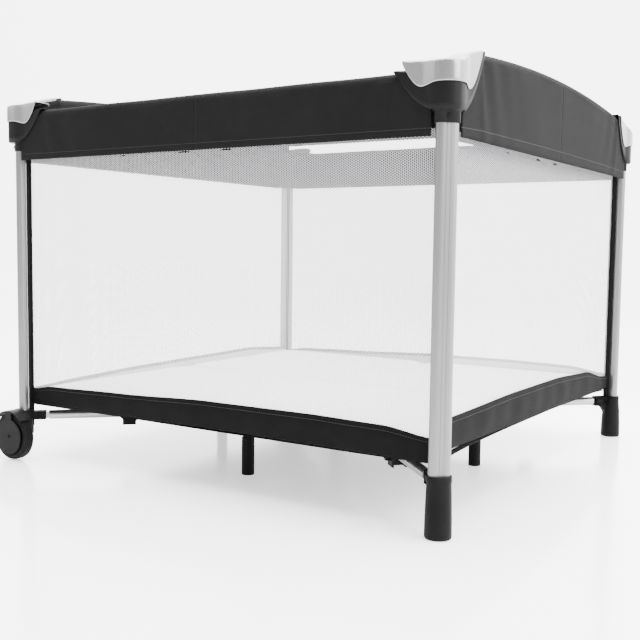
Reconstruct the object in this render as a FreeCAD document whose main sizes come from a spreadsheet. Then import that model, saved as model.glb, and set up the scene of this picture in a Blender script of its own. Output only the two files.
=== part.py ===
"""Travel play yard: four legs, four folding top rails and a folding floor frame.

Millimetres, +Z up. The origin is on the floor under the centre hub. X runs along the front
side to the right, and Y runs to the back. Every linkage turns by one angle: the half rails
and the diagonal arms have the same run along X and Y, so the legs stay upright as it folds.
"""

import FreeCAD, Part
import math
import os
import re

import Sketcher

os.makedirs("parts", exist_ok=True)

# Sizes in millimetres; one that starts with = follows from another
SIZES = {
    "half_pitch": (477.5, "centre of the yard to a leg's axis, along X and along Y"),
    "leg_wide": (35.6, "leg section across its wide face"),
    "leg_thick": (18.3, "leg section's thickness"),
    "leg_wall": (1.4, "leg's wall"),
    "leg_low": (62.0, "lower end of the leg tube"),
    "groove_wide": (1.2, "groove along the leg's wide face"),
    "groove_deep": (0.5, "depth of that groove"),
    "groove_apart": (7.0, "distance between the two grooves"),
    "slip": (0.3, "clearance between pieces that only touch"),
    "sleeve_low": (630.0, "lower edge of the corner bracket's collar"),
    "sleeve_high": ("=sleeve_low + 18", "upper edge of the collar"),
    "barrel_round": (22.8, "radius of the bracket's barrel"),
    "barrel_high": ("=sleeve_low + 84", "top of the barrel"),
    "rail_pivot": (36.0, "leg's axis to the rail's pivot"),
    "latch_pivot": (44.0, "side's middle to the latch's pivot"),
    "front_level": ("=sleeve_low + 62", "height of the straight rails' pivots"),
    "side_level": ("=front_level + 34", "height of the arched rails' pivots"),
    "side_crown": ("=side_level + 24", "height of the arched tube's axis at the side's middle"),
    "rail_round": (11.0, "radius of a rail tube"),
    "tube_wall": (1.5, "wall of the rail and arm tubes"),
    "tongue_thick": (8.0, "flattened tube end"),
    "tongue_round": (7.0, "radius of the flattened end"),
    "side_gap": (0.4, "gap on each side of a tongue"),
    "cheek": (3.6, "thickness of a fork's cheek"),
    "pin_round": (3.0, "radius of a rivet"),
    "pin_slip": (0.05, "radial running clearance of a rivet"),
    "end_plug": (8.0, "length of the solid end of a tube"),
    "cover_over": (17.0, "rail tube's axis to the top of its cover"),
    "cover_half": (15.5, "half the width of a rail cover"),
    "cover_low": ("=sleeve_low - 19", "lower edge of the rail covers"),
    "cover_end": (30.0, "leg's axis to the end of a rail cover"),
    "cloth": (1.5, "thickness of the cloth"),
    "cap_round": (25.5, "radius of the corner cap"),
    "cap_high": ("=barrel_high + 8", "top of the corner cap"),
    "cap_plate": (2.4, "thickness of the cap's wings"),
    "front_wing": (66.0, "leg's axis to the tip of the cap's wing over a straight rail"),
    "side_wing": (78.0, "leg's axis to the tip of the wing over an arched rail"),
    "wing_half": (17.0, "half the width of a wing"),
    "shield_long": (72.0, "leg's axis to the end of the bracket's side shield"),
    "shield_low": ("=sleeve_high + 8", "lower edge of the side shield"),
    "shield_thick": (2.7, "thickness of the side shield"),
    "floor_level": (85.0, "height of every pivot of the floor frame"),
    "foot_pivot": (26.0, "leg's axis to the arm's pivot, along X and along Y"),
    "arm_round": (9.5, "radius of an arm tube"),
    "arm_tongue": (6.5, "radius of an arm's flattened end"),
    "boot_low_round": (21.6, "radius of the boot at the floor"),
    "boot_top_round": (19.5, "radius of the boot's top"),
    "boot_high": ("=floor_level + 12.5", "height of the boot"),
    "ring_fall": (119.5, "arm's foot pivot to its fitting, along X and along Y"),
    "ring_pivot": (32.0, "fitting's centre to a side bar's pivot"),
    "bar_round": (7.0, "radius of a side bar"),
    "bar_wall": (1.2, "wall of a side bar"),
    "bar_tongue": (5.0, "radius of a side bar's flattened end"),
    "bar_thick": (6.0, "thickness of a side bar's flattened end"),
    "bar_cheek": (3.0, "cheek of a side bar's fork"),
    "bar_pin": (2.5, "radius of a side bar's rivet"),
    "post_round": (12.5, "radius of a mid foot's post"),
    "hub_round": (58.0, "radius of the hub"),
    "hub_low": ("=floor_level - 12", "lower face of the hub"),
    "hub_high": ("=floor_level + 13", "upper face of the hub"),
    "hub_post_round": (17.0, "radius of the centre foot"),
    "wheel_round": (48.25, "radius of a wheel"),
    "wheel_wide": (24.0, "width of a wheel"),
    "wheel_inner": (20.5, "leg's axis to the wheel's inner face"),
    "wheel_set_in": (9.0, "wheel's axis inboard of the leg, along X"),
    "axle_round": (4.0, "radius of the axle"),
    "wall_in": (10.0, "leg's axis plane to the mesh wall"),
    "wall_top": ("=sleeve_low - 8", "upper edge of the mesh walls"),
    "cloth_low": ("=hub_high + 10", "lower face of the floor cloth"),
    "band_high": ("=cloth_low + 70", "upper edge of the base band"),
    "mattress_high": ("=cloth_low + 34", "top of the mattress"),
    "mattress_in": (13.0, "leg's axis plane to the mattress's edge"),
    "button_half": (14.0, "half the length of a release button"),
    "button_wide": (6.5, "half the width of a release button"),
    "button_drop": (9.0, "how far the button stands below its housing"),
    "button_travel": (5.0, "how far the button is pushed up"),
    "fork_root": (10.0, "leg's axis to where a fork's cheeks start"),
    "fork_past": (9.0, "cheek past its rail's pivot"),
    "fork_half": (11.0, "cheek above and below its rail's pivot"),
    "arm_fork_past": (8.0, "cheek past its arm's pivot"),
    "arm_fork_half": (9.0, "cheek above and below its arm's pivot"),
    "latch_deep": (20.0, "rail's pivot to the latch's lower face"),
    "well_wall": (10.0, "rail's pivot to the top of the well's wall"),
}

# Sizes that follow from the driving ones
RAIL_RUN = "(half_pitch - rail_pivot - latch_pivot)"
HUB_PIVOT = "(rail_pivot + latch_pivot - foot_pivot)"
BAR_RUN = f"({RAIL_RUN} - ring_fall)"
MID_PIVOT = f"({HUB_PIVOT} - ring_pivot)"
RING = "(half_pitch - foot_pivot - ring_fall)"
DIAGONAL = f"{math.sqrt(2):.12f}"
SLOT = "(tongue_thick / 2 + side_gap)"
FORK = f"({SLOT} + cheek)"
BAR_SLOT = "(bar_thick / 2 + side_gap)"
BAR_FORK = f"({BAR_SLOT} + bar_cheek)"
RAIL_CLEAR = "(tongue_round * 2 + 2)"
ARM_CLEAR = "(arm_tongue * 2 + 1)"
BAR_CLEAR = "(bar_tongue * 2 + 1.5)"
ROOM = "300"
FOLD_ROOM = "60"

WORD = re.compile(r"\b[a-z][a-z_]+\b")
ACROSS = FreeCAD.Rotation(FreeCAD.Vector(1, 0, 0), -90)
ALONG = FreeCAD.Rotation(FreeCAD.Vector(0, 1, 0), 90)

doc = FreeCAD.newDocument("PlayYard")
sheet = doc.addObject("Spreadsheet::Sheet", "Sizes")
for row, (alias, (value, meaning)) in enumerate(SIZES.items(), start=1):
    sheet.set(f"A{row}", meaning)
    sheet.set(f"B{row}", str(value))
    sheet.setAlias(f"B{row}", alias)
doc.recompute()


def bind(text):
    """An expression whose size names point at the sheet's cells."""
    return WORD.sub(lambda m: f"Sizes.{m[0]}" if m[0] in SIZES else m[0], str(text))


def turned(angle):
    """A turn about the vertical, in degrees."""
    return FreeCAD.Rotation(FreeCAD.Vector(0, 0, 1), angle)


def put(item, at=(0, 0, 0), turn=None):
    """Place an item: its position is bound to the sheet, its turn is fixed."""
    item.Placement = FreeCAD.Placement(FreeCAD.Vector(), turn or FreeCAD.Rotation())
    for axis, text in zip("xyz", at):
        item.setExpression(f"Placement.Base.{axis}", bind(text))
    return item


def primitive(kind, at, turn=None, **sizes):
    item = doc.addObject(f"Part::{kind}", kind)
    for name, text in sizes.items():
        item.setExpression(name, bind(text))
    return put(item, at, turn)


def box(x, y, z):
    """A box from three (low, high) pairs."""
    lengths = [f"({high}) - ({low})" for low, high in (x, y, z)]
    return primitive("Box", (x[0], y[0], z[0]), Length=lengths[0], Width=lengths[1], Height=lengths[2])


def post(radius, z, x=0, y=0):
    """An upright cylinder from z[0] to z[1]."""
    return primitive("Cylinder", (x, y, z[0]), Radius=radius, Height=f"({z[1]}) - ({z[0]})")


def cross_pin(radius, half, x, z, y=0):
    """A cylinder along Y, centred on (x, y, z)."""
    return primitive("Cylinder", (x, f"({y}) - ({half})", z), ACROSS, Radius=radius, Height=f"2 * ({half})")


def rod(radius, x, z):
    """A cylinder along X from x[0] to x[1]."""
    return primitive("Cylinder", (x[0], 0, z), ALONG, Radius=radius, Height=f"({x[1]}) - ({x[0]})")


def fuse(*items, turn=None):
    """The items joined, or one item alone, turned about the vertical."""
    if len(items) == 1:
        return put(group(*items), turn=turn)
    whole = doc.addObject("Part::MultiFuse", "Fuse")
    whole.Shapes = list(items)
    return put(whole, turn=turn)


def common(first, second):
    shared = doc.addObject("Part::Common", "Common")
    shared.Base, shared.Tool = first, second
    return shared


def cut(item, *tools):
    """The item less the tools."""
    result = doc.addObject("Part::Cut", "Cut")
    result.Base = item
    result.Tool = tools[0] if len(tools) == 1 else fuse(*tools)
    return result


def group(*items):
    """Several solids in one node, kept apart."""
    together = doc.addObject("Part::Compound", "Group")
    together.Links = list(items)
    return together


def riveted(item, *rivets):
    """The item bored for each rivet (radius, half, x, z, y), with the rivets in it."""
    bored = cut(item, *[cross_pin(*rivet) for rivet in rivets])
    return group(bored, *[cross_pin(*rivet) for rivet in rivets])


def oval(wide, thick, z, x=0):
    """An upright rounded slot section, wide along Y."""
    straight = f"(({wide}) - ({thick})) / 2"
    middle = box((f"-({thick}) / 2", f"({thick}) / 2"), (f"-({straight})", straight), z)
    ends = [post(f"({thick}) / 2", z, x, f"{sign} * ({straight})") for sign in (-1, 1)]
    return fuse(middle, *ends)


CORNERS = {
    # name: (x side, y side, turn of the inward diagonal, turn of the straight rail from it)
    "front_right": (1, -1, 135, 45),
    "front_left": (-1, -1, 45, -45),
    "back_right": (1, 1, 225, -45),
    "back_left": (-1, 1, 315, 45),
}
SIDES = {
    # name: (x side, y side, its two ends and the turn from each end's leg to the middle)
    "front": (0, -1, {"right": 180, "left": 0}),
    "back": (0, 1, {"right": 180, "left": 0}),
    "left": (-1, 0, {"front": 90, "back": 270}),
    "right": (1, 0, {"front": 90, "back": 270}),
}
NODES = []


def node(name, item, at=(0, 0, 0), turn=None):
    item.Label = name
    put(item, at, turn)
    NODES.append(item)


def leg_sketch(body, name, wide, thick):
    """A constrained rounded slot about the body's origin, wide along Y."""
    sketch = body.newObject("Sketcher::SketchObject", name)
    plane = [f for f in body.Origin.OriginFeatures if f.Role == "XY_Plane"][0]
    sketch.AttachmentSupport = (plane, [""])
    sketch.MapMode = "FlatFace"
    up = FreeCAD.Vector(0, 0, 1)
    radius, reach = 8.0, 9.0
    ends = [Part.Circle(FreeCAD.Vector(0, sign * reach, 0), up, radius) for sign in (1, -1)]
    sketch.addGeometry(Part.ArcOfCircle(ends[0], 0, math.pi), False)
    sketch.addGeometry(Part.ArcOfCircle(ends[1], math.pi, 2 * math.pi), False)
    for sign in (-1, 1):
        low, high = FreeCAD.Vector(sign * radius, -reach, 0), FreeCAD.Vector(sign * radius, reach, 0)
        sketch.addGeometry(Part.LineSegment(low, high), False)
    rules = [
        ("Tangent", 0, 2, 2, 2), ("Tangent", 1, 1, 2, 1), ("Tangent", 1, 2, 3, 1),
        ("Tangent", 0, 1, 3, 2), ("Symmetric", 0, 3, 1, 3, -1, 1), ("PointOnObject", 0, 3, -2),
        ("Equal", 0, 1),
    ]
    for rule in rules:
        sketch.addConstraint(Sketcher.Constraint(*rule))
    size = sketch.addConstraint(Sketcher.Constraint("Radius", 0, radius))
    sketch.setExpression(f"Constraints[{size}]", bind(f"({thick}) / 2"))
    size = sketch.addConstraint(Sketcher.Constraint("DistanceY", 1, 3, 0, 3, 2 * reach))
    sketch.setExpression(f"Constraints[{size}]", bind(f"({wide}) - ({thick})"))
    return sketch


def leg():
    """The leg's tube: an oval extrusion with two grooves along each wide face."""
    body = doc.addObject("PartDesign::Body", "Leg")
    pad = body.newObject("PartDesign::Pad", "Tube")
    pad.Profile = leg_sketch(body, "Outside", "leg_wide", "leg_thick")
    pad.setExpression("Length", bind("barrel_high - 8 - leg_low"))
    doc.recompute()
    before = pad.Shape.Volume
    bore = body.newObject("PartDesign::Pocket", "Bore")
    bore.Profile = leg_sketch(body, "Inside", "leg_wide - 2 * leg_wall", "leg_thick - 2 * leg_wall")
    bore.Type = "ThroughAll"
    bore.Reversed = True
    doc.recompute()
    if bore.Shape.Volume > before * 0.5:
        raise RuntimeError("the leg's bore cut nothing")
    grooves = [
        box((f"{x} * leg_thick / 2 - groove_deep", f"{x} * leg_thick / 2 + groove_deep"),
            (f"{y} * groove_apart / 2 - groove_wide / 2", f"{y} * groove_apart / 2 + groove_wide / 2"),
            ("-1", ROOM + " * 3"))
        for x in (-1, 1) for y in (-1, 1)
    ]
    return cut(body, *grooves)


def fork(level, reach, half_high, half, slot):
    """A fork's cheeks along X and the gap cut between them: (solid, gap)."""
    low, high = f"({level}) - ({half_high})", f"({level}) + ({half_high})"
    cheeks = box(reach, (f"-{half}", half), (low, high))
    gap = box((slot[0], ROOM), (f"-{slot[1]}", slot[1]), (f"{low} - {FOLD_ROOM}", f"{high} + 1"))
    return cheeks, gap


def outward(out, near, far):
    """The pair (low, high) from near to far, on the side that out gives."""
    return (near, far) if out > 0 else (f"-({far})", f"-({near})")


def bracket(straight_turn):
    """The leg's upper bracket: collar, barrel, a fork for each rail and an outer shield on each."""
    parts = [
        oval("leg_wide + 5", "leg_thick + 5", ("sleeve_low", "sleeve_high + 1")),
        post("barrel_round", ("sleeve_high", "barrel_high")),
    ]
    slots, holes, pins = [], [], []
    for turn, level in ((straight_turn, "front_level"), (-straight_turn, "side_level")):
        slot = ("rail_pivot - tongue_round - 1", SLOT)
        cheeks, gap = fork(level, ("fork_root", "rail_pivot + fork_past"), "fork_half", FORK, slot)
        neck = box(("fork_root", "barrel_round + 2"), (f"-{FORK}", FORK),
                   ("sleeve_high + 20", f"{level} + fork_half"))
        across = outward(turn, "cover_half + slip", "cover_half + slip + shield_thick")
        shield = box((14, "shield_long"), across, ("shield_low", f"{level} + fork_half - 1"))
        parts.append(fuse(cheeks, neck, shield, turn=turned(turn)))
        slots.append(fuse(gap, turn=turned(turn)))
        holes.append(fuse(cross_pin("pin_round", FORK, "rail_pivot", level), turn=turned(turn)))
        pins.append(fuse(cross_pin("pin_round", FORK, "rail_pivot", level), turn=turned(turn)))
    socket = oval("leg_wide + slip", "leg_thick + slip", ("sleeve_low - 1", "barrel_high - 7.7"))
    return group(cut(fuse(*parts), socket, *slots, *holes), *pins)


def cap(straight_turn):
    """The saddle over the bracket: a dome and a wing over each rail cover."""
    dome = post("cap_round", ("front_level", "cap_high"))
    parts, room = [dome], [post("barrel_round + slip", ("front_level - 1", "barrel_high + slip"))]
    side_low = "side_level + cover_over + 4.2"
    tops = {
        "front_level": ("front_level + cover_over + slip", "cap_high", "front_wing"),
        "side_level": (side_low, f"{side_low} + cap_plate", "side_wing"),
    }
    for turn, level in ((straight_turn, "front_level"), (-straight_turn, "side_level")):
        low, high, tip = tops[level]
        wing = box((18, tip), ("-wing_half", "wing_half"), (low, high))
        riser = box((18, "cover_end - slip"), ("-wing_half", "wing_half"), ("cap_high - 6", high))
        across = outward(turn, "wing_half", "wing_half + 3.5")
        skirt = box((12, f"{tip} - 14"), across, (f"{level} + fork_half - 0.5", high))
        parts.append(fuse(wing, riser, skirt, turn=turned(turn)))
        block = box((0, "rail_pivot + fork_past + 1"), (f"-{FORK} - slip", f"{FORK} + slip"),
                    ("front_level - 20", f"{level} + fork_half + slip"))
        across = outward(turn, "cover_half", "cover_half + slip * 2 + shield_thick")
        shield = box((0, "shield_long + 1"), across,
                     ("front_level - 20", f"{level} + fork_half - 1 + slip"))
        room.append(fuse(block, shield, turn=turned(turn)))
    return cut(fuse(*parts), *room)


def straight_rail():
    """Half of the front or back rail, along X from the leg's axis."""
    first, last = "rail_pivot", f"rail_pivot + {RAIL_RUN}"
    span = (f"{first} + {RAIL_CLEAR}", f"{last} - {RAIL_CLEAR}")
    return hinged_tube(first, last, span, "front_level", "rail_round", "tube_wall", "tongue_round",
                       "tongue_thick", "pin_round", "end_plug")


def hinged_tube(first, last, span, level, radius, wall, tongue, thick, pin, plug):
    """A tube along X with a solid plug and a flat tongue, bored for its rivet, at each end."""
    low, high = f"{level} - {tongue}", f"{level} + {tongue}"
    sides = (f"-{thick} / 2", f"{thick} / 2")
    bore = rod(f"{radius} - {wall}", (f"{span[0]} + {plug}", f"{span[1]} - {plug}"), level)
    parts = [cut(rod(radius, span, level), bore)]
    for x in ((first, f"{span[0]} + 2"), (f"{span[1]} - 2", last)):
        parts.append(box(x, sides, (low, high)))
    parts += [cross_pin(tongue, f"{thick} / 2", x, level) for x in (first, last)]
    holes = [cross_pin(f"{pin} + pin_slip", f"{thick}", x, level) for x in (first, last)]
    return cut(fuse(*parts), *holes)


def arc_rod(radius, bend, start):
    """A round bar bent to an arch whose crown is at the side's middle, out to x = start."""
    item = doc.addObject("Part::Torus", "Torus")
    item.setExpression("Radius1", bind(bend))
    item.setExpression("Radius2", bind(radius))
    item.setExpression("Angle3", bind(f"asin((half_pitch - ({start})) / ({bend}))"))
    frame = FreeCAD.Matrix(0, -1, 0, 0, 0, 0, -1, 0, 1, 0, 0, 0, 0, 0, 0, 1)
    rise = FreeCAD.Placement(frame).Rotation
    return put(item, ("half_pitch", 0, f"side_crown - ({bend})"), rise)


def arched_rail():
    """Half of the left or right rail: an arched tube whose pivots stand at one height."""
    first, last = "rail_pivot", f"rail_pivot + {RAIL_RUN}"
    start, end = f"({first} + {RAIL_CLEAR})", f"({last} - {RAIL_CLEAR})"
    reach, rise = f"(half_pitch - {start})", "(side_crown - side_level)"
    bend = f"(({reach} ^ 2 + {rise} ^ 2) / (2 * {rise}))"
    sides = ("-tongue_thick / 2", "tongue_thick / 2")
    low, high = "side_level - tongue_round", "side_level + tongue_round"
    past_end = box((end, ROOM + " * 3"), ("-50", "50"), ("0", ROOM + " * 4"))
    past_plug = box((f"{end} - end_plug", ROOM + " * 3"), ("-50", "50"), ("0", ROOM + " * 4"))
    bore = cut(arc_rod("rail_round - tube_wall", bend, f"{start} + end_plug"), past_plug)
    tube = cut(arc_rod("rail_round", bend, start), past_end, bore)
    parts = [
        tube,
        box((first, f"{start} + 2"), sides, (low, high)),
        box((f"{end} - end_plug", last), sides, (low, high)),
        box((f"{end} - end_plug", end), sides, (low, "side_crown")),
    ]
    parts += [cross_pin("tongue_round", "tongue_thick / 2", x, "side_level") for x in (first, last)]
    holes = [cross_pin("pin_round + pin_slip", "tongue_thick", x, "side_level") for x in (first, last)]
    return cut(fuse(*parts), *holes)


def latch(level):
    """The channel at a side's middle: two cheeks, a floor with the button's well, and two rivets."""
    reach = ("-latch_pivot - fork_past", "latch_pivot + fork_past")
    body = box(reach, (f"-{FORK}", FORK), (f"{level} - latch_deep", f"{level} + fork_half"))
    well_wall = box(("-button_half - 5", "button_half + 5"), (f"-{FORK} - 2", f"{FORK} + 2"),
                    (f"{level} - latch_deep", f"{level} - well_wall"))
    channel = box(("-" + ROOM, ROOM), (f"-{SLOT}", SLOT), (f"{level} - tongue_round - 2", f"{level} + 12"))
    well = box(("-button_half - slip", "button_half + slip"), ("-button_wide - slip", "button_wide + slip"),
               (f"{level} - latch_deep - 1", f"{level} - tongue_round - 3 + button_travel + slip"))
    pins = [("pin_round", FORK, f"{sign} * latch_pivot", level) for sign in (-1, 1)]
    return riveted(cut(fuse(body, well_wall), channel, well), *pins)


def button(level):
    """The release button in its well, with the flange that keeps it there."""
    stem = box(("-button_half", "button_half"), ("-button_wide", "button_wide"),
               (f"{level} - latch_deep - button_drop", f"{level} - tongue_round - 3 - slip"))
    flange = box(("-button_half - 3", "button_half + 3"), (f"-{SLOT} + slip", f"{SLOT} - slip"),
                 (f"{level} - tongue_round - 2 + slip", f"{level} - tongue_round + 1"))
    neck = box(("-button_half", "button_half"), (f"-{SLOT} + slip", f"{SLOT} - slip"),
               (f"{level} - tongue_round - 5", f"{level} - tongue_round"))
    return fuse(stem, neck, flange)


def arm_fork(x, towards):
    """The fork that holds an arm's tongue, reaching along X to the pivot at x: (cheeks, gap)."""
    reach = (towards, f"{x} + arm_fork_past")
    return fork("floor_level", reach, "arm_fork_half", FORK, (f"{x} - arm_tongue - 1", SLOT))


def foot():
    """A boot with a flat sole, the leg's socket and the fork of the diagonal arm."""
    pivot = f"foot_pivot * {DIAGONAL}"
    boot = primitive("Cone", (0, 0, 0), Radius1="boot_low_round", Radius2="boot_top_round",
                     Height="boot_high")
    cheeks, gap = arm_fork(pivot, "fork_root")
    socket = oval("leg_wide + slip", "leg_thick + slip", ("leg_low - slip", ROOM))
    return riveted(cut(fuse(boot, cheeks), gap, socket), ("pin_round", FORK, pivot, "floor_level"))


def wheel_bracket(out):
    """The bracket at a wheeled leg: socket, arm fork, axle, and a cover over the wheel's outer face."""
    pivot = f"foot_pivot * {DIAGONAL}"
    cheeks, gap = arm_fork(pivot, "fork_root")
    barrel = post("boot_top_round", ("leg_low - 14", "boot_high"))
    along = f"{-out} * wheel_set_in"
    face = "wheel_inner - slip * 2"
    outer = "wheel_inner + wheel_wide + slip * 3"
    web = box((0, face), (f"{along} - 12", f"{along} + 12"), ("wheel_round - 14", "boot_high - 20"))
    axle = rod("axle_round", ("wheel_inner - 6", f"{outer} + 2"), "wheel_round")
    disc = rod("wheel_round - 12", (outer, f"{outer} + 3"), "wheel_round")
    lip = cut(rod("wheel_round + 5", (face, f"{outer} + 3"), "wheel_round"),
              rod("wheel_round + 2", (f"{face} - 1", f"{outer} + 4"), "wheel_round"),
              box(("-1", ROOM), ("-" + ROOM, ROOM), ("-100", "wheel_round * 1.75")))
    stay = box((outer, f"{outer} + 3"), ("-9", "9"), ("wheel_round", "wheel_round * 2 + 2.5"))
    back = box((f"{face} - 4", face), ("-9", "9"), ("boot_high - 40", "wheel_round * 2 + 3"))
    group_at_wheel = fuse(axle, fuse(disc, stay, lip, back))
    put(group_at_wheel, (0, along, 0))
    wheel_side = fuse(web, group_at_wheel, turn=turned(out * 135))
    socket = oval("leg_wide + slip", "leg_thick + slip", ("leg_low - slip", ROOM))
    solid = cut(fuse(barrel, cheeks, wheel_side), gap, socket)
    return riveted(solid, ("pin_round", FORK, pivot, "floor_level"))


def wheel():
    """A wheel along X: rounded tyre, recessed faces and a running bore."""
    disc = rod("wheel_round", ("wheel_inner", "wheel_inner + wheel_wide"), "wheel_round")
    doc.recompute()
    soft = doc.addObject("Part::Fillet", "Tyre")
    soft.Base = disc
    soft.Edges = [(number + 1, 4.0, 4.0) for number, edge in enumerate(disc.Shape.Edges) if edge.Closed]
    outer = "wheel_inner + wheel_wide"
    recess = cut(rod("wheel_round - 11", (f"{outer} - 5", f"{outer} + 1"), "wheel_round"),
                 rod("12", ("wheel_inner", f"{outer} + 2"), "wheel_round"))
    bore = rod("axle_round + pin_slip", ("wheel_inner - 1", "wheel_inner + wheel_wide + 1"), "wheel_round")
    return cut(soft, recess, bore)


def arm():
    """A diagonal arm, bored across for its fitting's pin."""
    first = f"foot_pivot * {DIAGONAL}"
    last = f"(foot_pivot + {RAIL_RUN}) * {DIAGONAL}"
    span = (f"{first} + {ARM_CLEAR}", f"{last} - {ARM_CLEAR}")
    tube = hinged_tube(first, last, span, "floor_level", "arm_round", "tube_wall", "arm_tongue",
                       "tongue_thick", "pin_round", "end_plug")
    ring = f"(foot_pivot + ring_fall) * {DIAGONAL}"
    return cut(tube, cross_pin("pin_round + pin_slip", "arm_round + 1", ring, "floor_level"))


def hub():
    """The centre hub with a fork for each arm."""
    pivot = f"{HUB_PIVOT} * {DIAGONAL}"
    parts, gaps, holes, pins = [post("hub_round", ("hub_low", "hub_high"))], [], [], []
    for turn in (45, 135, 225, 315):
        cheeks, gap = arm_fork(pivot, "hub_round - 20")
        parts.append(fuse(cheeks, turn=turned(turn)))
        high_gap = box((f"{pivot} - arm_tongue - 1", ROOM), (f"-{SLOT}", SLOT), ("0", ROOM))
        gaps.append(fuse(gap, high_gap, turn=turned(turn)))
        holes.append(fuse(cross_pin("pin_round", FORK, pivot, "floor_level"), turn=turned(turn)))
        pins.append(fuse(cross_pin("pin_round", FORK, pivot, "floor_level"), turn=turned(turn)))
    well = post("hub_post_round - 5", ("hub_high - 6", ROOM))
    return group(cut(fuse(*parts), well, *gaps, *holes), *pins)


def fitting():
    """The yoke on an arm, kept level, with a fork for each of its two side bars."""
    half = "(arm_round + 1 + cheek)"
    cheeks = [
        cross_pin("12", "cheek / 2", 0, "floor_level", f"{sign} * (arm_round + 1 + cheek / 2)")
        for sign in (-1, 1)
    ]
    bridge = box((13, 24), (f"-{half}", half), ("floor_level - 24", "floor_level - 13"))
    webs = [
        box(("-4", 24), outward(sign, "arm_round + 1", half), ("floor_level - 24", "floor_level"))
        for sign in (-1, 1)
    ]
    props, gaps, holes, pins = [], [], [], []
    for sign in (-1, 1):
        turn = turned(sign * 45)
        props.append(box((8, 26), outward(sign, "arm_round + 1", "arm_round + 13"),
                         ("floor_level - 14", "floor_level + 7")))
        slot = ("ring_pivot - bar_tongue - 1", BAR_SLOT)
        forks, gap = fork("floor_level", ("ring_pivot - bar_tongue - 6", "ring_pivot + 6"), 7, BAR_FORK, slot)
        props.append(fuse(forks, turn=turn))
        high_gap = box(("ring_pivot - bar_tongue - 1", ROOM), (f"-{BAR_SLOT}", BAR_SLOT), ("0", ROOM))
        gaps.append(fuse(gap, high_gap, turn=turn))
        holes.append(fuse(cross_pin("bar_pin", BAR_FORK, "ring_pivot", "floor_level"), turn=turn))
        pins.append(fuse(cross_pin("bar_pin", BAR_FORK, "ring_pivot", "floor_level"), turn=turn))
    arm_room = box(("-60", "60"), ("-arm_round - 0.9", "arm_round + 0.9"), ("floor_level - 11", ROOM))
    long_pin = cross_pin("pin_round", half, 0, "floor_level")
    long_hole = cross_pin("pin_round", half, 0, "floor_level")
    solid = cut(fuse(*cheeks, bridge, *webs, *props), *gaps, arm_room, *holes, long_hole)
    return group(solid, *pins, long_pin)


def side_bar():
    """A bar of the floor ring, along X from its fitting's centre."""
    first, last = "ring_pivot", f"(ring_pivot + {BAR_RUN})"
    span = (f"{first} + {BAR_CLEAR}", f"{last} - {BAR_CLEAR}")
    return hinged_tube(first, last, span, "floor_level", "bar_round", "bar_wall", "bar_tongue",
                       "bar_thick", "bar_pin", "end_plug")


def mid_foot():
    """The post at the middle of a side, with a fork for the bar on each side of it."""
    body = box((f"-{MID_PIVOT} - 7", f"{MID_PIVOT} + 7"), (f"-{BAR_FORK}", BAR_FORK),
               ("floor_level - 7", "floor_level + 7"))
    shaft = post("post_round", (0, "floor_level - 12"))
    neck = primitive("Cone", (0, 0, "floor_level - 26"), Radius1="post_round", Radius2="post_round - 4",
                     Height="26")
    near = f"{MID_PIVOT} - bar_tongue - 1"
    tall = (f"floor_level - {FOLD_ROOM}", f"floor_level + {FOLD_ROOM}")
    gaps = [
        box((low, high), (f"-{BAR_SLOT}", BAR_SLOT), tall)
        for low, high in ((f"-{ROOM}", f"-({near})"), (near, ROOM))
    ]
    pins = [("bar_pin", BAR_FORK, f"{sign} * {MID_PIVOT}", "floor_level") for sign in (-1, 1)]
    return riveted(cut(fuse(body, shaft, neck), *gaps), *pins)


def square(half, z):
    """An upright square block about the origin."""
    return box((f"-({half})", half), (f"-({half})", half), z)


def cover(arched):
    """One rail's cover along X: two sides and a top, flat or arched, open below."""
    reach = ("-(half_pitch - cover_end)", "half_pitch - cover_end")
    level = "side_crown" if arched else "front_level"
    top = f"{level} + cover_over"
    shell = box(reach, ("-cover_half", "cover_half"), ("cover_low", top))
    hollow = box(("-half_pitch", "half_pitch"), ("-cover_half + cloth", "cover_half - cloth"),
                 ("cover_low - 1", f"{top} - cloth"))
    if not arched:
        return cut(shell, hollow)
    start = f"(half_pitch - rail_pivot - {RAIL_CLEAR})"
    rise = "(side_crown - side_level)"
    bend = f"(({start} ^ 2 + {rise} ^ 2) / (2 * {rise}) + cover_over)"
    centre = f"{top} - {bend}"
    outer = cross_pin(bend, "half_pitch", 0, centre)
    inner = cross_pin(f"{bend} - cloth", "half_pitch", 0, centre)
    return cut(common(shell, outer), common(hollow, inner))


def build_corners():
    for name, (x, y, inward, straight_turn) in CORNERS.items():
        at, turn = (f"{x} * half_pitch", f"{y} * half_pitch", 0), turned(inward)
        node(f"leg_{name}", leg(), at[:2] + ("leg_low",), turn)
        node(f"bracket_{name}", bracket(straight_turn), at, turn)
        node(f"cap_{name}", cap(straight_turn), at, turn)
        node(f"arm_{name}", arm(), at, turn)
        ring_at = (f"{x} * {RING}", f"{y} * {RING}", 0)
        node(f"fitting_{name}", fitting(), ring_at, turn)
        if x > 0:
            node(f"foot_{name}", foot(), at, turn)
            continue
        out = 1 if y > 0 else -1
        node(f"wheel_bracket_{name}", wheel_bracket(out), at, turn)
        wheel_at = (f"{x} * half_pitch + wheel_set_in", at[1], 0)
        node(f"wheel_{name}", wheel(), wheel_at, turned(90 * y))


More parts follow.
